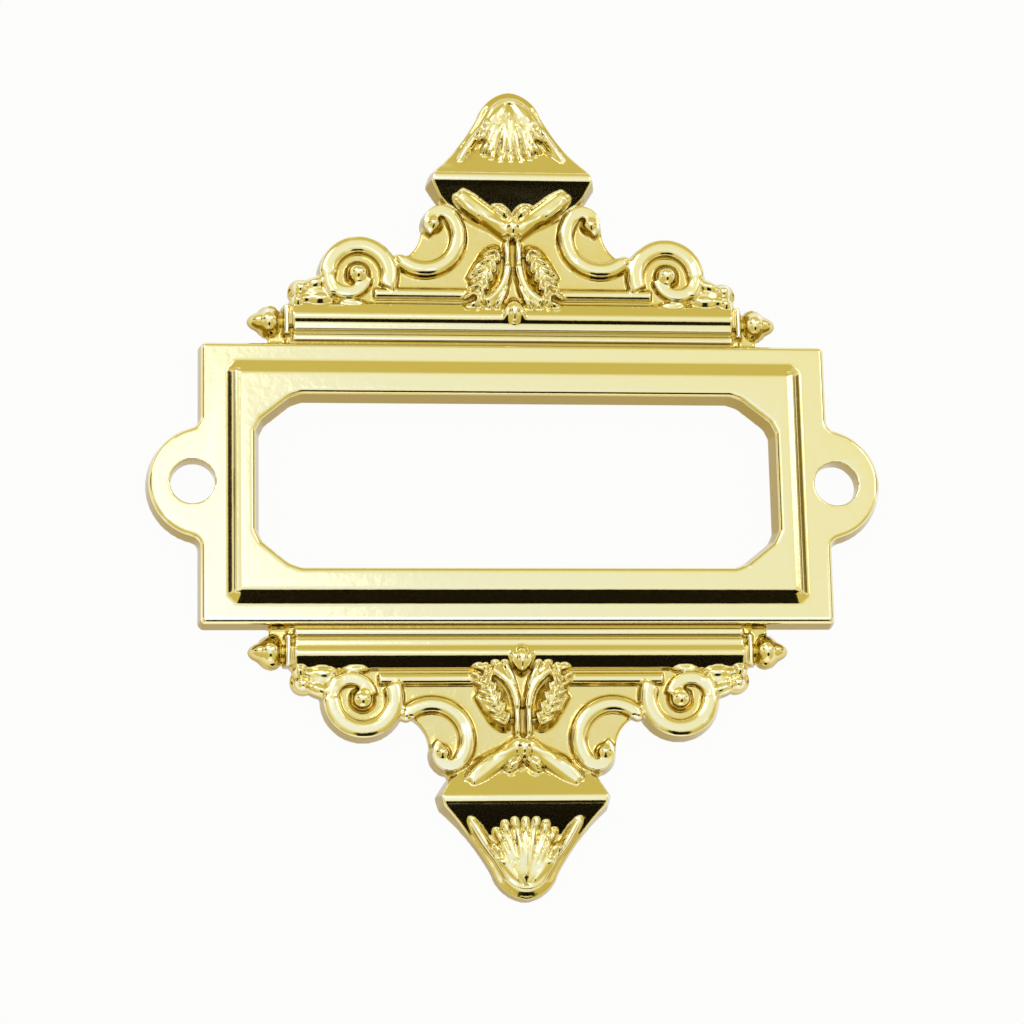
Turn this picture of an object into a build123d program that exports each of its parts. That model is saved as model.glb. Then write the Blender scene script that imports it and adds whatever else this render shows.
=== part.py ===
"""Label holder for a drawer front: one casting with a window frame, two screw ears and two carved crests.

The back lies on the XY plane, +X runs along the screw line, +Y points to the upper finial and +Z comes out
of the face. The origin is midway between the screw holes. All lengths are in millimetres. The carving is cut
in flats, as a die maker cuts it: a band has leaning sides, a flat crown and a bevel between them, and a leaf
is a spray of six-sided lobes. One crest is drawn above the frame and mirrored below it.
"""
import os
from math import atan2, cos, degrees, hypot, radians, sin, tan

from build123d import *

# Window and label
WINDOW_W = 52.1
WINDOW_H = 17.0
CLIP_X = 3.6
CLIP_Y = 2.9
CLIP_CUT = 0.6
POCKET_LAP = 1.9
POCKET_D = 0.5

# Frame, from the window outwards
FACE_W = 2.7
SIDE_W = 2.0
SHOULDER_RUN = 1.35
LEDGE_W = 2.3
LEDGE_SIDE = 2.95
FLANGE_T = 2.4
FRAME_RISE = 0.9
CORNER_CUT = 0.5
BEVEL = 0.3
DRAFT = 9.0

# Screw ears
EAR_R = 6.1
EAR_SET = 0.85
EAR_NECK_R = 0.8
HOLE_D = 4.5
HOLE_OUT = 1.3

# Crest: heights above the frame's edge and distances from the middle line
ROD_HALF = 22.7
ROD_R = 1.35
ROD_UP = 2.5
BAND_UP = 0.5
SHELF_UP = 5.2
ACORN_L = 3.5
ACORN_R = 1.9
VOLUTE_X = 15.9
VOLUTE_UP = 7.15
VOLUTE_R = 3.15
TAIL_R = 1.95
C_X = 9.1
C_UP = 11.3
C_R = 3.5
CURL_R = 1.2
BOWL_UP = 11.1
RIM_UP = 17.4
RIM_HALF = 8.5
TIP_UP = 27.5
ARCH_UP = 24.0
ARCH_R = 2.1
FLARE_R = 4.2

# Carving: levels above the back, band widths, and the grid on which the small lobes are set out
GROUND_T = 1.3
BELL_T = 1.5
RIDGE_T = 3.2
RELIEF = 1.1
SHOULDER = 0.2
LOBE_RELIEF = 0.85
VOLUTE_W = 1.7
C_W = 1.5
TAIL_W = 1.2
SHELF_W = 1.0
BAND_W = 0.8
RIB_W = 0.5
FLARE_W = 0.8
SWAG_W = 1.5
GRID = 1.0
LOBE_SIDES = 6
BURY = 0.6

FRAME_W = WINDOW_W + 2 * SIDE_W
FRAME_H = WINDOW_H + 2 * FACE_W
FOOT_W = FRAME_W + 2 * SHOULDER_RUN
FOOT_H = FRAME_H + 2 * SHOULDER_RUN
FLANGE_W = FOOT_W + 2 * LEDGE_SIDE
FLANGE_H = FOOT_H + 2 * LEDGE_W
FRAME_T = FLANGE_T + FRAME_RISE
EAR_X = FLANGE_W / 2 - EAR_SET
CROWN = GROUND_T + RELIEF
LOBE_CROWN = GROUND_T + LOBE_RELIEF
LEAN = tan(radians(DRAFT))


def near(anchor, dx, dy):
    """Point a few grid steps from an anchor point."""
    return (anchor[0] + dx * GRID, anchor[1] + dy * GRID)


def section(width, shoulder, crown, inner_lean=0.0, outer_lean=LEAN):
    """Upright section of a carved band, centred on x = 0; a shoulder at the crown leaves out the bevel."""
    half = width / 2
    flat = half * 0.45
    inner_foot = (-half - (shoulder + BURY) * inner_lean, -BURY)
    outer_foot = (half + (shoulder + BURY) * outer_lean, -BURY)
    crown_points = [(-half, shoulder), (-flat, crown), (flat, crown), (half, shoulder)]
    if shoulder == crown:
        crown_points = [(-half, crown), (half, crown)]
    return Polygon(inner_foot, *crown_points, outer_foot, align=None)


def turn(center, radius, start, sweep, width, shoulder, crown):
    """Part of a ring of carved band about a centre, from a start angle, anticlockwise if sweep > 0."""
    face = Plane.XZ * Pos(radius, 0) * section(width, shoulder, crown)
    ring = revolve(face, Axis.Z, abs(sweep))
    return Pos(*center) * Rot(0, 0, min(start, start + sweep)) * ring


def scroll(center, start, turns):
    """Chain of turns that run smoothly into each other; returns the solids and the last end point."""
    x, y = center
    angle = start
    solids = []
    last = turns[0][0]
    for radius, sweep, width, shoulder, crown in turns:
        x += (last - radius) * cos(radians(angle))
        y += (last - radius) * sin(radians(angle))
        solids.append(turn((x, y), radius, angle, sweep, width, shoulder, crown))
        angle += sweep
        last = radius
    end = (x + last * cos(radians(angle)), y + last * sin(radians(angle)))
    return solids, end


def bar(start, end, width, shoulder, crown):
    """Straight length of carved band between two points."""
    length = hypot(end[0] - start[0], end[1] - start[1])
    heading = degrees(atan2(end[1] - start[1], end[0] - start[0]))
    face = Plane.YZ * section(width, shoulder, crown, LEAN, LEAN)
    return Pos(*start) * Rot(0, 0, heading) * extrude(face, length, dir=(1, 0, 0))


def cushion(outline, foot, crown, rise):
    """Outline raised from a foot level with leaning sides and a bevelled crown."""
    lower = extrude(Pos(0, 0, foot) * outline, crown - rise - foot, dir=(0, 0, 1), taper=DRAFT)
    return lower + extrude(lower.faces().sort_by(Axis.Z)[-1], rise, taper=45)


def lobe(base, tip, half_width, lift=0.0):
    """Long leaf lobe between two points, lifted above the common level of the leaves."""
    half = hypot(tip[0] - base[0], tip[1] - base[1]) / 2
    heading = degrees(atan2(tip[1] - base[1], tip[0] - base[0]))
    side = half_width * GRID
    angles = [radians(360 * (i + 0.5) / LOBE_SIDES) for i in range(LOBE_SIDES)]
    oval = Polygon(*[(half * cos(a), side * sin(a)) for a in angles], align=None)
    place = Pos((base[0] + tip[0]) / 2, (base[1] + tip[1]) / 2) * Rot(0, 0, heading)
    return cushion(place * oval, GROUND_T / 2, LOBE_CROWN + lift * GRID, 0.55 * side)


def both_sides(solids):
    """The solids and their mirror images across the middle of the crest."""
    return solids + [mirror(solid, Plane.YZ) for solid in solids]


def plate():
    """Frame with ears, raised inner frame, label pocket, window and screw holes."""
    ears = [Pos(side * EAR_X, 0) * Circle(EAR_R) for side in (-1, 1)]
    outline = chamfer(Rectangle(FLANGE_W, FLANGE_H).vertices(), CORNER_CUT) + ears[0] + ears[1]
    straight = FLANGE_H / 2 - CORNER_CUT - EAR_NECK_R
    necks = [v for v in outline.vertices() if abs(v.Y) < straight]
    outline = fillet(necks, EAR_NECK_R)
    lower = extrude(outline, FLANGE_T - BEVEL, taper=DRAFT)
    body = lower + extrude(lower.faces().sort_by(Axis.Z)[-1], BEVEL, taper=45)
    foot = chamfer(Rectangle(FOOT_W, FOOT_H).vertices(), 0.65 * SHOULDER_RUN)
    lean = degrees(atan2(SHOULDER_RUN, FRAME_RISE))
    body = body + extrude(Pos(0, 0, FLANGE_T) * foot, FRAME_RISE, taper=lean)

    pocket = Rectangle(WINDOW_W + 2 * POCKET_LAP, WINDOW_H + 2 * POCKET_LAP)
    body = body - extrude(Pos(0, 0, -BURY) * pocket, POCKET_D + BURY)
    half_w = WINDOW_W / 2
    half_h = WINDOW_H / 2
    corners = [(half_w - CLIP_X, half_h), (half_w, half_h - CLIP_Y)]
    corners += [(x, -y) for x, y in reversed(corners)]
    corners += [(-x, y) for x, y in reversed(corners)]
    window = Polygon(*corners, align=None)
    window = chamfer(window.vertices(), CLIP_CUT)
    opening = extrude(window, FRAME_T - BEVEL, dir=(0, 0, 1), taper=-DRAFT)
    body = body - opening - extrude(opening.faces().sort_by(Axis.Z)[-1], 2 * BEVEL, taper=-45)

    for side in (-1, 1):
        hole = Cylinder(HOLE_D / 2, 4 * FRAME_T)
        body = body - Pos(side * (EAR_X + HOLE_OUT), 0, 0) * hole
    return body


def ground():
    """Low web under the crest, cut to the outline seen between the scrolls."""
    root = (0, -2 * BEVEL - BURY)
    end = (ROD_HALF + 0.7 * GRID, ROD_UP + 1.2 * GRID)
    volute = (VOLUTE_X, VOLUTE_UP)
    saddle = near(volute, -VOLUTE_R / GRID - 0.1, 1.55)
    curl = (C_X, C_UP)
    curl_side = near(curl, 0.3, 1.1)
    curl_top = near(curl, -2.6, 4.8)
    leaf_low = near(end, -0.5, 0.8)
    leaf_high = near(end, -2.5, 2.6)
    right = [
        Polyline(root, (end[0], root[1]), end, leaf_low),
        ThreePointArc(leaf_low, near(end, -0.7, 2.7), leaf_high),
        Polyline(leaf_high, near(volute, 2.85, 1.35), near(volute, 0.25, 2.95), saddle),
        ThreePointArc(saddle, near(curl, 1.0, -1.2), curl_side),
        Polyline(curl_side, near(curl, -0.9, 3.2), curl_top, (0, curl_top[1]), root),
    ]
    half = make_face(right)
    return extrude(Pos(0, 0, -BURY) * (half + mirror(half, Plane.YZ)), GROUND_T + BURY, dir=(0, 0, 1))


def mouldings():
    """Fillet band, rod with turned ends and shelf bar between the frame and the scrolls."""
    band_crown = GROUND_T + 0.45 * GRID
    band = bar((-ROD_HALF, BAND_UP), (ROD_HALF, BAND_UP), BAND_W, band_crown - 0.15 * GRID, band_crown)
    profile = [(-0.75, -0.85), (-0.6, -0.45), (-0.3, -0.12), (0, 0), (0.3, -0.03), (1.22, -0.55)]
    profile = [(ROD_UP + ROD_R * x, CROWN + ROD_R * z) for x, z in profile]
    feet = [(profile[0][0] - 0.1 * GRID, -BURY), (profile[-1][0] + 0.1 * GRID, -BURY)]
    rod_face = Plane.YZ * Polygon(feet[0], *profile, feet[1], align=None)
    rod = Pos(-ROD_HALF, 0) * extrude(rod_face, 2 * ROD_HALF, dir=(1, 0, 0))
    axis = ROD_UP - 0.2 * GRID
    ring = (ROD_HALF + 0.6 * GRID, axis)
    ring_crown = CROWN - 0.3 * GRID
    collar = bar(near(ring, 0, -1.6), near(ring, 0, 1.6), 0.6 * GRID, ring_crown - 0.3 * GRID, ring_crown)
    stations = [(0, 0.55), (0.15, 0.92), (0.35, 1.0), (0.6, 0.74), (1, 0.1)]
    start = ROD_HALF + 1.1 * GRID
    upper = [(start + ACORN_L * x, axis + ACORN_R * r) for x, r in stations]
    under = [(x, 2 * axis - y) for x, y in reversed(upper)]
    acorn = cushion(Polygon(*upper, *under, align=None), -BURY, CROWN - 0.2 * GRID, 0.45 * ACORN_R)
    web_corner = (ROD_HALF, -BEVEL - BURY)
    web = Rectangle(2.5 * GRID, axis - web_corner[1] - 0.9 * GRID, align=Align.MIN)
    web = extrude(Pos(*web_corner, -BURY) * web, BURY + 0.7 * GROUND_T)
    shelf_end = (VOLUTE_X - VOLUTE_R / 2, SHELF_UP)
    shelf_crown = CROWN - 0.4 * GRID
    shelf = bar((4.4 * GRID, SHELF_UP), shelf_end, SHELF_W, shelf_crown - 0.2 * GRID, shelf_crown)
    return [band, rod] + both_sides([collar, acorn, web, shelf])


def scrollwork():
    """Volute, C-scroll and end leaf on each side of the crest."""
    volute, _ = scroll((VOLUTE_X, VOLUTE_UP), 205, [
        (VOLUTE_R, -205, VOLUTE_W, CROWN - SHOULDER, CROWN),
        (TAIL_R, -170, TAIL_W, CROWN - 0.15 * GRID, CROWN - 0.15 * GRID),
    ])
    center = (VOLUTE_X, VOLUTE_UP)
    eye = lobe(near(center, -1.3, 0.05), near(center, 1.6, 0.05), 1.4, 0.45)
    c_scroll, curl_end = scroll((C_X, C_UP), -48, [
        (C_R, -172, C_W, CROWN - SHOULDER, CROWN),
        (CURL_R, -190, TAIL_W, CROWN, CROWN),
    ])
    curl_eye = lobe(near(curl_end, -0.9, 0.75), near(curl_end, 1.0, 0.75), 0.95, 0.4)
    foot = (VOLUTE_X + 2.5 * GRID, SHELF_UP)
    end = (ROD_HALF, SHELF_UP)
    leaf = [
        lobe(near(foot, 0.2, 1.55), near(end, -1.1, 0.7), 0.8),
        lobe(near(end, -1.8, 0.45), near(end, 0.2, 0.45), 1.0, 0.15),
        lobe(near(foot, 0.8, -0.4), near(end, 0.4, -0.7), 0.7, -0.15),
    ]
    return both_sides(volute + [eye] + c_scroll + [curl_eye] + leaf)


def palmette():
    """Leaf spray on the middle line: twin stems, a bud at their foot and a veined leaf on each side."""
    rod = (0, ROD_UP)
    fork = near(rod, 0.6, 3.3)
    bud = lobe(near(rod, 0, -0.9), near(rod, 0, 2.4), 1.2, 0.75)
    rib_crown = CROWN - 0.1 * GRID
    stem = bar(near(fork, 0, 2.3), (fork[0], BOWL_UP - 0.4 * GRID), RIB_W, rib_crown, rib_crown)
    flare = turn(near(fork, FLARE_R / GRID, 2.3), FLARE_R, 180, 64, FLARE_W, rib_crown, rib_crown)
    top = (0, BOWL_UP)
    leaves = [
        lobe(near(top, 1.3, -0.9), near(top, 4.5, -7.2), 1.6),
        lobe(near(top, 1.7, -1.4), near(top, 3.9, -6.2), 0.6, 0.3),
        lobe(near(top, 2.2, -1.2), near(top, 4.9, -4.6), 0.7, 0.15),
        lobe(near(fork, -0.1, 0.4), near(rod, 1.9, 0.9), 0.45, 0.2),
        lobe(near(rod, 2.2, 1.9), near(rod, 4.9, 1.4), 0.6, -0.1),
    ]
    return [bud] + both_sides([stem, flare] + leaves)


def finial():
    """Bowl and bell that end the crest, with the ridge of the rim between them."""
    bottom = (0, BOWL_UP)
    rim = (RIM_HALF, RIM_UP)
    tip = (0, TIP_UP)
    neck = near(tip, 3.95, -3.75)
    cap = near(tip, 3.45, -2.9)
    right = [
        ThreePointArc(bottom, near(rim, -3.9, -4.5), near(rim, -0.7, -2.1)),
        Polyline(near(rim, -0.7, -2.1), near(rim, 0.4, -0.4), near(rim, 0, 0.9)),
        ThreePointArc(near(rim, 0, 0.9), near(rim, -2.55, 3.5), neck),
        Line(neck, cap),
        ThreePointArc(cap, near(tip, 2.2, -0.95), tip),
        Line(tip, bottom),
    ]
    half = make_face(right)
    body = extrude(half + mirror(half, Plane.YZ), RIDGE_T + 0.5 * GRID, dir=(0, 0, 1), taper=DRAFT)
    bowl = (BOWL_UP, BELL_T)
    ridge = (RIM_UP, RIDGE_T)
    cove = (RIM_UP, BELL_T)
    beyond = TIP_UP + GRID
    roof = Polygon(
        (BOWL_UP - GRID, -BURY), near(bowl, -1, -0.1), near(bowl, 2.7, 0), near(ridge, -0.7, -0.25),
        near(ridge, -0.3, 0), near(ridge, 0.3, 0), near(ridge, 0.6, -0.25), near(cove, 3.5, 0),
        (beyond, BELL_T), (beyond, -BURY), align=None,
    )
    span = 3 * RIM_HALF
    body = body & (Pos(-span / 2, 0) * extrude(Plane.YZ * roof, span, dir=(1, 0, 0)))
    knob = lobe(near(bottom, 0, -0.1), near(bottom, 0, 2.4), 1.3, 0.85)
    swag_z = GROUND_T + 1.55 * GRID
    swag = bar(near(bottom, 0.4, 0.7), near(rim, -3.1, -1.8), SWAG_W, swag_z - 0.35 * GRID, swag_z)
    rib_crown = BELL_T + 0.6 * GRID
    spring = radians(34)
    arch = turn((0, ARCH_UP), ARCH_R, 30, 120, RIB_W, rib_crown, rib_crown)
    limb_top = (ARCH_R * cos(spring), ARCH_UP + ARCH_R * sin(spring))
    limb = bar(limb_top, near(rim, -3.1, 1.5), RIB_W, rib_crown, rib_crown)
    crown_point = (0, ARCH_UP + 1.4 * GRID)
    fan = [
        lobe(near(crown_point, 0.1, 0), near(rim, 1.0 - RIM_HALF / GRID, 1.4), 0.65, 0.35),
        lobe(near(crown_point, 0.2, -0.1), near(rim, 2.5 - RIM_HALF / GRID, 2.4), 0.65, 0.3),
        lobe(near(crown_point, 0.3, 0.1), near(rim, 3.0 - RIM_HALF / GRID, 4.6), 0.55, 0.2),
    ]
    spine = lobe(near(crown_point, 0, 0.2), near(rim, -RIM_HALF / GRID, 2.8), 0.5, 0.4)
    return [body, knob, arch, spine] + both_sides([swag, limb] + fan)


def crest():
    """Everything above the frame, joined; its heights are measured from the frame's edge."""
    solids = mouldings() + scrollwork() + palmette() + finial()
    return Pos(0, FLANGE_H / 2) * ground().fuse(*solids)


if __name__ == "__main__":
    os.makedirs("parts", exist_ok=True)
    upper = crest()
    holder = plate().fuse(upper, mirror(upper, Plane.XZ))
    reach = 2 * (FLANGE_W + FLANGE_H + TIP_UP)
    holder = holder - Pos(0, 0, -reach / 2) * Box(reach, reach, reach)
    print("valid", holder.is_valid, "solids", len(holder.solids()), "volume", round(holder.volume, 1))
    export_step(holder, "parts/label_holder.step")
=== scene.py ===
# %% [markdown]
# # A gold-plated label holder
# The object is one small casting: a window frame with two screw ears and a carved crest above and below it.
# The exact solid comes from the CAD part. This lesson gives it what a casting has and a drawing lacks: soft
# edges, fine chasing in the leaves, a polished gold skin, and the studio light that such a skin needs.

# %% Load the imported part
from math import cos, radians, sin

import bpy
from mathutils import Euler, Matrix, Vector


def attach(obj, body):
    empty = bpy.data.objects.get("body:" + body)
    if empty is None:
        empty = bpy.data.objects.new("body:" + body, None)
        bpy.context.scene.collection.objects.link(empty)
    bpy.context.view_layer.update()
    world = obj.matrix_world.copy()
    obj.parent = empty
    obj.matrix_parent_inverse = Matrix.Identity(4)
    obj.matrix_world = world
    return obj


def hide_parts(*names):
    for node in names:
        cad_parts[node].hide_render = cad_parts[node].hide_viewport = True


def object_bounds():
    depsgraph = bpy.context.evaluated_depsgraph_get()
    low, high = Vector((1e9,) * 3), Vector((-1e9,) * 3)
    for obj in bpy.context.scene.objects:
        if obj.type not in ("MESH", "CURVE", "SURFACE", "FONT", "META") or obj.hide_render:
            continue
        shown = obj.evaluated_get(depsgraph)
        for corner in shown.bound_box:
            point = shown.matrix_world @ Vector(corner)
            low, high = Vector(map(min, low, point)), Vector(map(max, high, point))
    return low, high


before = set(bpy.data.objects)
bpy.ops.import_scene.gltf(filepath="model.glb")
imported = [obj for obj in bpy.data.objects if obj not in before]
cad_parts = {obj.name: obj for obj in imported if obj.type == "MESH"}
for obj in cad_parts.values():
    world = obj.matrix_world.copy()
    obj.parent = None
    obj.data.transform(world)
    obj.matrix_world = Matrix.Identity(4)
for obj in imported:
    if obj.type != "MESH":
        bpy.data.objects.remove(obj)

MM = 0.001
cad_box = [list(corner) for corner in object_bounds()]
print("CAD box in mm:", [[round(c / MM, 2) for c in corner] for corner in cad_box])

# %% [markdown]
# ## Camera
# The photograph looks down on the holder from a little below and to the left, with a long lens. The pose was
# found by matching the corners of the frame, the holes and the finials, so the camera is placed by its turn
# about the object and its distance, and the picture lines up without any shift.

# %% Camera
LENS_MM = 112.5
SENSOR_MM = 36.0
NEAR_CLIP = 0.01
CAMERA_TURN = Euler((radians(12.927), radians(-6.352), radians(-1.243)), "ZXY")
CAMERA_OFFSET = Vector((-0.376, -2.467, 326.384)) * MM

bpy.ops.object.select_all(action="DESELECT")
bpy.ops.object.camera_add()
camera = bpy.context.object
camera.name = "camera"
camera.rotation_mode = "ZXY"
camera.rotation_euler = CAMERA_TURN
camera.location = CAMERA_TURN.to_matrix() @ CAMERA_OFFSET
camera.data.lens = LENS_MM
camera.data.sensor_width = SENSOR_MM
camera.data.clip_start = NEAR_CLIP
bpy.context.scene.camera = camera
bpy.context.scene.view_settings.view_transform = "Standard"
print("camera at", [round(c / MM, 1) for c in camera.location], "mm")

# %% [markdown]
# ## Two helpers for materials
# Colours are written as sRGB hex values, the way a picture program shows them, and one function turns them
# into the linear values that Blender computes with. A second one adds a node, sets it up, and gives each of
# its sockets a value or a link from another node. A Mix node has several sockets of the same name, and those
# for colours are told apart by their number, so the numbers get names here.

# %% Helpers
MIX_FROM = 6
MIX_TO = 7
MIX_RESULT = 2
WHITE = (1.0, 1.0, 1.0, 1.0)


def colour(hex_code):
    """Linear RGBA from an sRGB hex code."""
    parts = [int(hex_code[i:i + 2], 16) / 255 for i in (1, 3, 5)]
    return [c / 12.92 if c <= 0.04045 else ((c + 0.055) / 1.055) ** 2.4 for c in parts] + [1.0]


def add_node(tree, kind, sockets=None, **settings):
    """Add a node with its settings, and give each input socket a value or a link."""
    node = tree.nodes.new(kind)
    for name, value in settings.items():
        setattr(node, name, value)
    for socket, source in (sockets or {}).items():
        if isinstance(source, bpy.types.NodeSocket):
            tree.links.new(source, node.inputs[socket])
        else:
            node.inputs[socket].default_value = source
    return node


print("middle grey #808080 is", round(colour("#808080")[0], 3), "in linear light")

# %% [markdown]
# ## Light
# Polished metal is a mirror, so its picture is a picture of the room. Overhead the room is bright, as under
# a large softbox, and that gives the flat faces their pale yellow. Away from it the light sinks to a deeper
# yellow. Pale walls stand at the left, the right and low in front, and two small hard lights behind give the
# sparks on the carving. Four dark places, two of them one above the other in front, draw the black and brown
# lines on the slopes of the frame and the rods. Lamps and screens could stand there as objects. Painting the
# world by direction is simpler, because nothing is then in the camera's way. Each part of the room is a round
# patch with an axis, the two angles in radians between which it fades out, a colour and a brightness.

# %% Room
FAR_ROOM = ("#ffee94", 0.68)
SOFTBOX_AXIS = (-0.05, 0.08, 0.995)
SOFTBOX = [
    (SOFTBOX_AXIS, (0.36, 0.82), "#fefee9", 1.0),
    (SOFTBOX_AXIS, (0.12, 0.36), "#d6e0ff", 1.46),
]
WALL_EDGES = (0.30, 0.55)
PALE_WALLS = [
    ((-1, 0.22, 0.3), WALL_EDGES, "#fff6dc", 1.0),
    ((1, 0.22, 0.3), WALL_EDGES, "#fff6dc", 1.0),
    ((0, -1, -0.05), WALL_EDGES, "#fff6dc", 1.25),
]
GLINT_EDGES = (0.14, 0.24)
GLINTS = [
    ((-0.42, 0.50, 0.76), GLINT_EDGES, "#ffffff", 3.5),
    ((0.52, 0.34, 0.78), GLINT_EDGES, "#ffffff", 2.2),
]
DARK_PLACES = [
    ((-0.852, 0.224, 0.471), (0.14, 0.22), "#1c140a", 1.0),
    ((0.935, 0.224, 0.272), (0.12, 0.24), "#7a6a2c", 1.0),
    ((0.108, -0.791, 0.602), (0.24, 0.29), "#0e0904", 1.0),
    ((0.108, -0.640, 0.760), (0.24, 0.29), "#0e0904", 1.0),
]
print("room:", len(PALE_WALLS), "pale walls and", len(DARK_PLACES), "dark places under a softbox")

# %% Paint the room
world = bpy.data.worlds.new("studio_room")
world.use_nodes = True
bpy.context.scene.world = world
tree = world.node_tree
tree.nodes.clear()
direction = add_node(tree, "ShaderNodeTexCoord").outputs["Generated"]
room = [c * FAR_ROOM[1] for c in colour(FAR_ROOM[0])]
for axis, edges, code, brightness in SOFTBOX + PALE_WALLS + GLINTS + DARK_PLACES:
    pair = {0: direction, 1: Vector(axis).normalized()}
    dot = add_node(tree, "ShaderNodeVectorMath", pair, operation="DOT_PRODUCT")
    angle = add_node(tree, "ShaderNodeMath", {0: dot.outputs["Value"]}, operation="ARCCOSINE")
    falloff = {"From Min": edges[0], "From Max": edges[1], "To Min": 1.0, "To Max": 0.0}
    near = add_node(tree, "ShaderNodeMapRange", {"Value": angle.outputs["Value"], **falloff})
    patch = [c * brightness for c in colour(code)]
    pair = {"Factor": near.outputs["Result"], MIX_FROM: room, MIX_TO: patch}
    room = add_node(tree, "ShaderNodeMix", pair, data_type="RGBA").outputs[MIX_RESULT]
ray = add_node(tree, "ShaderNodeLightPath")
pair = {"Factor": ray.outputs["Is Camera Ray"], MIX_FROM: room, MIX_TO: WHITE}
backdrop = add_node(tree, "ShaderNodeMix", pair, data_type="RGBA")
glow = add_node(tree, "ShaderNodeBackground", {"Color": backdrop.outputs[MIX_RESULT]})
add_node(tree, "ShaderNodeOutputWorld", {"Surface": glow.outputs["Background"]})
print("world", world.name, "has", len(tree.nodes), "nodes")

# %% [markdown]
# ## Lamp
# The room lights the holder from all round, which leaves hardly any shadow. One weak lamp high up, behind
# and to the left, gives the sheet a soft shadow at the lower right. An area lamp is used because its size
# sets how soft that shadow is.

# %% Lamp
LAMP_AT = Vector((-70, 120, 560)) * MM
LAMP_SIZE = 130 * MM
LAMP_WATTS = 0.035

bpy.ops.object.light_add(type="AREA", location=LAMP_AT)
lamp = bpy.context.object
lamp.name = "lamp"
lamp.rotation_euler = LAMP_AT.to_track_quat("Z", "Y").to_euler()
lamp.data.size = LAMP_SIZE
lamp.data.energy = LAMP_WATTS
print("lamp", round(LAMP_SIZE / MM), "mm wide at", [round(c / MM) for c in LAMP_AT])

# %% [markdown]
# ## Floor
# The holder lies on a white sheet. To the camera, and in the metal, the sheet is nearly as bright as the
# white behind it, with only a soft shadow left. As a source of light it stays a pale matt surface.

# %% Floor
SHEET_WIDTH = 4.0
SHEET_GAP_MM = 0.02
SHEET_GLOW = 0.96
SHEET_TINT = "#d2cec2"

bpy.ops.object.select_all(action="DESELECT")
bpy.ops.mesh.primitive_plane_add(size=SHEET_WIDTH, location=(0, 0, -SHEET_GAP_MM * MM))
floor = bpy.context.object
floor.name = "floor"
sheet = bpy.data.materials.new("white_paper_sheet")
sheet.use_nodes = True
tree = sheet.node_tree
tree.nodes.clear()
ray = add_node(tree, "ShaderNodeLightPath")
seen = ray.outputs["Is Camera Ray"]
for kind in ("Is Glossy Ray", "Is Transmission Ray"):
    either = add_node(tree, "ShaderNodeMath", {0: seen, 1: ray.outputs[kind]}, operation="MAXIMUM")
    seen = either.outputs["Value"]
share = add_node(tree, "ShaderNodeMath", {0: seen, 1: SHEET_GLOW}, operation="MULTIPLY")
matt = add_node(tree, "ShaderNodeBsdfDiffuse", {"Color": colour(SHEET_TINT)})
glow = add_node(tree, "ShaderNodeEmission", {"Color": WHITE, "Strength": 1.0})
parts = {0: share.outputs["Value"], 1: matt.outputs["BSDF"], 2: glow.outputs["Emission"]}
both = add_node(tree, "ShaderNodeMixShader", parts)
add_node(tree, "ShaderNodeOutputMaterial", {"Surface": both.outputs["Shader"]})
floor.data.materials.append(sheet)
print("floor", [round(d, 2) for d in floor.dimensions], "m")

# %% [markdown]
# ## Gold plate
# The casting is polished and plated with gold, which gives a mirror with a warm colour of its own. Painted
# shade darkens the hollows to brown and near black, and a painted highlight makes the edges paler. Blender's
# Pointiness tells the two apart: 0.5 is flat, more is an edge, less is a hollow. A painted map could do the
# same, but this follows any change of shape.

# %% Plate, tinted by the bend of the surface
POLISH_ROUGHNESS = 0.12
# The darkest tint is painted shade in the deepest hollows. The tints by bend are painted shade in shallower
# hollows, the gold itself on flat faces, and a painted highlight on the edges.
HOLLOW_PAINTED_SHADE = "#3a2a0a"
SHADE_GOLD_HIGHLIGHT_BY_BEND = [((0.34, 0.41), "#9c7a1c"), ((0.42, 0.495), "#f0e5ae"), ((0.505, 0.555), "#ffffee")]

gold = bpy.data.materials.new("polished_gold_plate")
gold.use_nodes = True
tree = gold.node_tree
shader = tree.nodes["Principled BSDF"]
shader.inputs["Metallic"].default_value = 1.0
shader.inputs["Roughness"].default_value = POLISH_ROUGHNESS
surface = add_node(tree, "ShaderNodeNewGeometry")
tint = colour(HOLLOW_PAINTED_SHADE)
for edges, code in SHADE_GOLD_HIGHLIGHT_BY_BEND:
    bend = {"Value": surface.outputs["Pointiness"], "From Min": edges[0], "From Max": edges[1]}
    share = add_node(tree, "ShaderNodeMapRange", bend)
    pair = {"Factor": share.outputs["Result"], MIX_FROM: tint, MIX_TO: colour(code)}
    tint = add_node(tree, "ShaderNodeMix", pair, data_type="RGBA").outputs[MIX_RESULT]
print("material", gold.name, "with", len(SHADE_GOLD_HIGHLIGHT_BY_BEND) + 1, "tints from hollow to edge")

# %% [markdown]
# ## Painted shade on low ground and steep walls
# The low ground of the crests is painted a deeper yellow as shade between the raised carving, and the steep
# walls of the casting a darker yellow as painted shade that darkens the floor they reflect. The ground is
# found by its height above the back, and a wall by a normal that hardly points up.

# %% Low ground and steep walls
GROUND_MM = (1.3, 1.8)
# Painted shade on the low ground between the carving.
GROUND_PAINTED_SHADE = "#e4d184"
STEEP_FACING = (0.2, 0.5)
# Painted shade that darkens the pale floor seen in the steep walls.
STEEP_WALL_PAINTED_SHADE = "#a98f3c"

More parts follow.
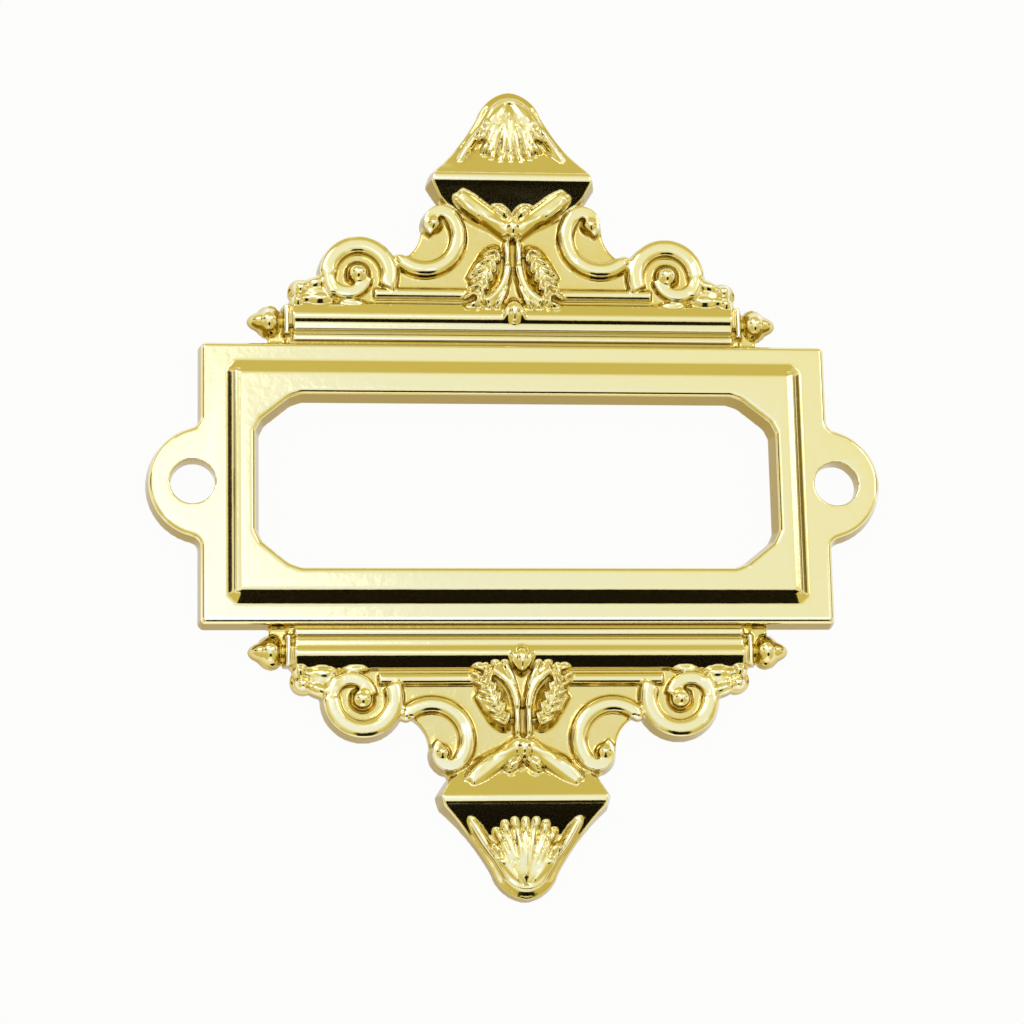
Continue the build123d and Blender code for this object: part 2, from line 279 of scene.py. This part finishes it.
place = add_node(tree, "ShaderNodeTexCoord").outputs["Object"]
height = add_node(tree, "ShaderNodeSeparateXYZ", {"Vector": place}).outputs["Z"]
span = {"Value": height, "From Min": GROUND_MM[0] * MM, "From Max": GROUND_MM[1] * MM}
raised = add_node(tree, "ShaderNodeMapRange", span).outputs["Result"]
pair = {"Factor": raised, MIX_FROM: colour(GROUND_PAINTED_SHADE), MIX_TO: tint}
tint = add_node(tree, "ShaderNodeMix", pair, data_type="RGBA").outputs[MIX_RESULT]
facing = add_node(tree, "ShaderNodeSeparateXYZ", {"Vector": surface.outputs["Normal"]}).outputs["Z"]
span = {"Value": facing, "From Min": STEEP_FACING[0], "From Max": STEEP_FACING[1]}
upward_share = add_node(tree, "ShaderNodeMapRange", span).outputs["Result"]
pair = {"Factor": upward_share, MIX_FROM: colour(STEEP_WALL_PAINTED_SHADE), MIX_TO: tint}
tint = add_node(tree, "ShaderNodeMix", pair, data_type="RGBA").outputs[MIX_RESULT]
tree.links.new(tint, shader.inputs["Base Color"])
print("ground under", GROUND_MM[0], "mm and steep walls have tints of their own")

# %% [markdown]
# ## Waves left by hand polishing
# Polishing by hand leaves the mirror slightly wavy, most of all on the low ground. The waves are shallower
# than the mesh is fine, so they are a bump in the material and not a shape.

# %% Waves
WAVE_MM = 0.9
WAVE_DEPTH_MM = 0.06
WAVE_STRENGTHS = (0.55, 0.22)

pattern = {"Vector": place, "Scale": 1 / (WAVE_MM * MM), "Detail": 2.0, "Roughness": 0.5}
waves = add_node(tree, "ShaderNodeTexNoise", pattern)
span = {"Value": raised, "To Min": WAVE_STRENGTHS[0], "To Max": WAVE_STRENGTHS[1]}
strength = add_node(tree, "ShaderNodeMapRange", span).outputs["Result"]
relief = {"Height": waves.outputs["Fac"], "Strength": strength, "Distance": WAVE_DEPTH_MM * MM}
skin = add_node(tree, "ShaderNodeBump", relief)
tree.links.new(skin.outputs["Normal"], shader.inputs["Normal"])
print("waves", WAVE_MM, "mm long")

# %% [markdown]
# ## The casting
# The CAD solid has crisp bevels. A casting that is polished and plated has none. A Bevel modifier could round
# the edges, but small edges in a dense carving leave it no room. So a copy of the solid is later cut into a
# fine even skin by a voxel remesh, and relaxed until the edges are round. A CAD mesh is loose triangles, so
# the copy is merged first.

# %% Casting
MERGE_MM = 0.001

bpy.ops.object.select_all(action="DESELECT")
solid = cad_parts["label_holder"]
solid.select_set(True)
bpy.context.view_layer.objects.active = solid
bpy.ops.object.duplicate()
casting = bpy.context.object
casting.name = "plated_casting"
casting.parent = None
for key in list(casting.keys()):
    del casting[key]
bpy.ops.object.mode_set(mode="EDIT")
bpy.ops.mesh.select_all(action="SELECT")
bpy.ops.mesh.remove_doubles(threshold=MERGE_MM * MM)
bpy.ops.object.mode_set(mode="OBJECT")
print("merged copy:", len(casting.data.vertices), "points")

# %% [markdown]
# ## Fine carving
# The leaves, buds and eyes of the crest are small drops. Each starts as a sphere that is drawn out to the
# length of its lobe and narrowed at the end where it grows. Round ribs are tubes that a disc leaves as it
# spins about a centre, and thin beads along the frame and the rods are flat-topped rails. All are set out in
# millimetres on the upper right quarter, and sculpting by hand is avoided so that every quarter is alike.

# %% Drops
DROP_SEGMENTS = 16
DROP_RINGS = 10
DROP_DEPTH = 0.9
DROP_LEAST_MM = 0.8

carving = []


def keep(name):
    """Take the active object into the carving with its place in its mesh."""
    piece = bpy.context.object
    piece.name = name
    bpy.ops.object.transform_apply(location=True, rotation=True, scale=True)
    carving.append(piece)
    return piece


def drop(name, base, tip, width, top, narrow=0.55):
    """Drop from a base point to a tip point in mm, with its full width near the tip and its crown at top."""
    base = Vector((*base, 0)) * MM
    tip = Vector((*tip, 0)) * MM
    along = tip - base
    bpy.ops.object.select_all(action="DESELECT")
    bpy.ops.mesh.primitive_uv_sphere_add(segments=DROP_SEGMENTS, ring_count=DROP_RINGS, radius=1.0)
    sphere = bpy.context.object
    for point in sphere.data.vertices:
        point.co.y *= narrow + (1 - narrow) * (point.co.x + 1) / 2
    height = max(DROP_DEPTH * width, DROP_LEAST_MM) * MM
    sphere.scale = (along.length / 2, width / 2 * MM, height)
    sphere.rotation_euler = (0, 0, along.to_2d().angle_signed(Vector((1, 0))))
    sphere.location = (base + tip) / 2 + Vector((0, 0, top * MM - height))
    return keep(name)


print("a drop has", DROP_SEGMENTS, "segments and", DROP_RINGS, "rings")

# %% Tubes and rails
TUBE_SIDES = 12
TUBE_STEPS = 14
RAIL_FOOT_MM = 1.0


def tube(name, center, radius, start, sweep, width, top):
    """Round rib along an arc about a centre in mm, spun from a disc."""
    turn = radians(start)
    at = Vector((center[0] + radius * cos(turn), center[1] + radius * sin(turn), top - width / 2)) * MM
    bpy.ops.object.select_all(action="DESELECT")
    bpy.ops.mesh.primitive_circle_add(vertices=TUBE_SIDES, radius=width / 2 * MM, fill_type="NGON",
                                      location=at, rotation=(radians(90), 0, turn))
    bpy.ops.object.transform_apply(location=True, rotation=True, scale=True)
    bpy.ops.object.mode_set(mode="EDIT")
    bpy.ops.mesh.select_all(action="SELECT")
    pivot = (center[0] * MM, center[1] * MM, 0)
    bpy.ops.mesh.spin(steps=TUBE_STEPS, angle=-radians(sweep), center=pivot, axis=(0, 0, 1))
    bpy.ops.mesh.select_all(action="SELECT")
    bpy.ops.mesh.normals_make_consistent(inside=False)
    bpy.ops.object.mode_set(mode="OBJECT")
    return keep(name)


def rail(name, start, end, top):
    """Flat-topped ridge that fills a rectangle between two corners in mm, up to a height in mm."""
    low = Vector((*start, RAIL_FOOT_MM)) * MM
    high = Vector((*end, top)) * MM
    bpy.ops.object.select_all(action="DESELECT")
    bpy.ops.mesh.primitive_cube_add(size=1.0, location=(low + high) / 2)
    bpy.context.object.scale = high - low
    return keep(name)


print("a tube has", TUBE_SIDES, "sides and", TUBE_STEPS, "steps")

# %% [markdown]
# ## Beads, rod ends and scroll eyes
# A thin bead runs along the side of the frame and two more along the rod. The rod ends in an acorn, and each
# scroll closes on a round eye. The rails start past the middle line and the drops sink into the casting,
# because what overlaps becomes one skin in the end.

# %% Beads, rod ends and scroll eyes
rail("frame_bead", (28.0, -0.5), (28.65, 11.5), 3.22)
rail("rod_bead", (-0.5, 16.0), (22.6, 16.65), 2.1)
rail("band_bead", (-0.5, 14.9), (22.6, 15.6), 1.85)
drop("acorn", (23.5, 17.15), (26.7, 17.15), 3.8, 2.35, narrow=1.0)
drop("acorn_tip", (24.4, 17.15), (27.4, 17.15), 1.9, 1.9, narrow=1.3)
tube("volute_end", (15.9, 22.0), 3.2, 5, -42, 1.6, 2.38)
drop("volute_eye", (14.55, 22.1), (17.4, 22.1), 2.8, 2.95, narrow=1.0)
drop("curl_eye", (7.2, 27.5), (9.1, 27.5), 1.9, 2.8, narrow=1.0)
drop("c_scroll_eye", (10.9, 23.7), (12.4, 23.7), 1.4, 2.45, narrow=1.0)
print("beads, rod end and eyes:", len(carving), "pieces")

# %% [markdown]
# ## End leaf
# Outside the volute a small lobed leaf curls over the end of the shelf. Six drops of different lengths give
# its lobes, each from its base to its tip.

# %% End leaf
END_LEAF = [
    ((18.6, 21.6), (21.8, 20.6), 1.8, 2.3),
    ((20.9, 20.5), (22.9, 20.5), 2.0, 2.5),
    ((17.6, 20.2), (22.6, 20.0), 2.6, 2.1),
    ((21.3, 19.2), (23.0, 19.2), 1.7, 2.3),
    ((18.0, 19.5), (21.8, 19.4), 2.0, 2.25),
    ((15.0, 19.0), (18.2, 19.1), 1.0, 2.0),
]

for number, (base, tip, width, top) in enumerate(END_LEAF):
    drop(f"end_leaf_{number}", base, tip, width, top, narrow=0.9)
print("end leaf:", len(END_LEAF), "lobes")

# %% [markdown]
# ## Palmette
# In the middle of the crest two leaves hang from a knot, with a stem and a bud between them. Each leaf is two
# broad drops that carry pairs of veins along its midrib, longest at the middle, and three strands at its end.

# %% Palmette leaf, stem and bud
tube("stem", (4.8, 22.95), 4.2, 180, 64, 0.85, 2.55)
drop("stem_root", (0.6, 26.2), (0.6, 22.4), 0.8, 2.5, narrow=1.0)
drop("bud", (0, 19.8), (0, 16.4), 2.4, 3.1, narrow=0.6)
drop("bud_side", (0.3, 19.4), (1.1, 16.9), 1.0, 2.75)
drop("leaf", (1.3, 25.6), (4.6, 18.9), 3.3, 2.4, narrow=1.1)
drop("leaf_root", (0.9, 25.9), (4.1, 21.6), 3.2, 2.25, narrow=1.0)
print("carved pieces so far:", len(carving))

# %% Palmette veins and strands
MIDRIB_ROOT = Vector((1.5, 25.2))
MIDRIB_END = Vector((4.4, 19.0))
VEIN_PAIRS = 6
VEIN_FIRST = 0.06
VEIN_STEP = 0.15
VEIN_SPREAD = radians(36)
VEIN_MM = 1.9
VEIN_TAPER_MM = 0.12
STRANDS = [
    ((0.4, 21.2), (1.9, 18.1), 0.9, 2.6),
    ((1.3, 19.9), (3.1, 18.1), 0.9, 2.4),
    ((2.6, 19.4), (5.0, 18.7), 1.0, 2.3),
]

for number in range(VEIN_PAIRS):
    start = MIDRIB_ROOT.lerp(MIDRIB_END, VEIN_FIRST + VEIN_STEP * number)
    length = VEIN_MM - VEIN_TAPER_MM * abs(number - (VEIN_PAIRS - 1) / 2)
    for side in (-1, 1):
        heading = (MIDRIB_END - MIDRIB_ROOT).normalized()
        heading.rotate(Matrix.Rotation(side * VEIN_SPREAD, 2))
        drop(f"vein_{number}_{side}", start, start + heading * length, 0.6, 2.68, narrow=0.7)
for number, (base, tip, width, top) in enumerate(STRANDS):
    drop(f"strand_{number}", base, tip, width, top)
print("palmette:", VEIN_PAIRS, "pairs of veins and", len(STRANDS), "strands")

# %% [markdown]
# ## Bowl and bell
# The bowl wears a knob with a swag tied to it in a bow, and the bell above it a fan of flutes between two
# limbs. The flutes spread from one point near the tip of the finial, each with a raised end, and a low bead
# rounds the tip itself.

# %% Bowl and bell
FAN_ROOT = Vector((0.1, 41.0))
FAN_TIP_FROM = 0.72
FAN_TIP_WIDTH = 0.75
FLUTES = [
    ((0.0, 33.6), 1.0), ((1.2, 33.5), 1.0), ((2.2, 34.1), 1.0),
    ((3.0, 35.1), 1.0), ((3.3, 36.5), 0.9), ((2.8, 38.0), 0.8),
]

drop("knob", (0, 28.5), (0, 25.6), 2.4, 3.25, narrow=0.9)
drop("swag", (-0.4, 26.5), (4.0, 28.6), 1.3, 3.0, narrow=0.9)
drop("swag_arm", (2.6, 27.5), (6.2, 30.7), 1.25, 2.95, narrow=1.0)
drop("bow", (0.2, 28.0), (1.9, 29.4), 1.3, 2.9, narrow=0.8)
drop("limb", (3.1, 38.1), (6.0, 33.2), 0.85, 2.65, narrow=0.9)
tube("tip_bead", (0, 38.85), 2.3, 94, -60, 1.6, 1.75)
for number, (tip, width) in enumerate(FLUTES):
    drop(f"fan_{number}", FAN_ROOT, tip, width, 2.4)
    raised_end = FAN_ROOT.lerp(Vector(tip), FAN_TIP_FROM)
    drop(f"fan_tip_{number}", raised_end, tip, FAN_TIP_WIDTH * width, 2.5, narrow=0.8)
print("carved pieces:", len(carving))

# %% [markdown]
# ## Join the carving to the casting
# The quarter of carving is joined, mirrored to the other three, and joined to the casting. Mirroring at the
# end means that each lobe is set out only once. No drop may reach through the back, so the points are first
# lifted above it.

# %% Join
CARVING_FOOT_MM = 0.3


def apply_modifier(piece, kind, **settings):
    """Add a modifier with its settings and apply it."""
    modifier = piece.modifiers.new(kind.lower(), kind)
    for name, value in settings.items():
        setattr(modifier, name, value)
    bpy.context.view_layer.objects.active = piece
    bpy.ops.object.modifier_apply(modifier=modifier.name)


bpy.ops.object.select_all(action="DESELECT")
for piece in carving:
    piece.select_set(True)
bpy.context.view_layer.objects.active = carving[0]
bpy.ops.object.join()
chasing = bpy.context.object
for point in chasing.data.vertices:
    point.co.z = max(point.co.z, CARVING_FOOT_MM * MM)
apply_modifier(chasing, "MIRROR", use_axis=(True, True, False), use_mirror_merge=False)
bpy.ops.object.select_all(action="DESELECT")
chasing.select_set(True)
casting.select_set(True)
bpy.context.view_layer.objects.active = casting
bpy.ops.object.join()
print("joined:", len(casting.data.polygons), "faces")

# %% [markdown]
# ## One skin
# Plating covers everything with one skin. A boolean union of so many small drops can fail where faces nearly
# touch. A voxel remesh has no such trouble, and its small steps vanish when the skin is relaxed. The skin is
# then thinned to a number of triangles that a viewer can carry, and held to the height of the CAD box.

# %% One skin
VOXEL_MM = 0.12
RELAX_STEPS = 10
RELAX_FACTOR = 0.5
SKIN_TRIANGLES = 190000

apply_modifier(casting, "REMESH", mode="VOXEL", voxel_size=VOXEL_MM * MM)
print("voxel skin:", len(casting.data.polygons), "faces")
apply_modifier(casting, "SMOOTH", factor=RELAX_FACTOR, iterations=RELAX_STEPS)
triangles = 2 * len(casting.data.polygons)
apply_modifier(casting, "DECIMATE", ratio=min(1.0, SKIN_TRIANGLES / triangles))
for point in casting.data.vertices:
    point.co.z = min(max(point.co.z, cad_box[0][2]), cad_box[1][2])
bpy.ops.object.shade_smooth()
casting.data.materials.clear()
casting.data.materials.append(gold)
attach(casting, "root")
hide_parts("label_holder")
print("casting:", len(casting.data.polygons), "faces")
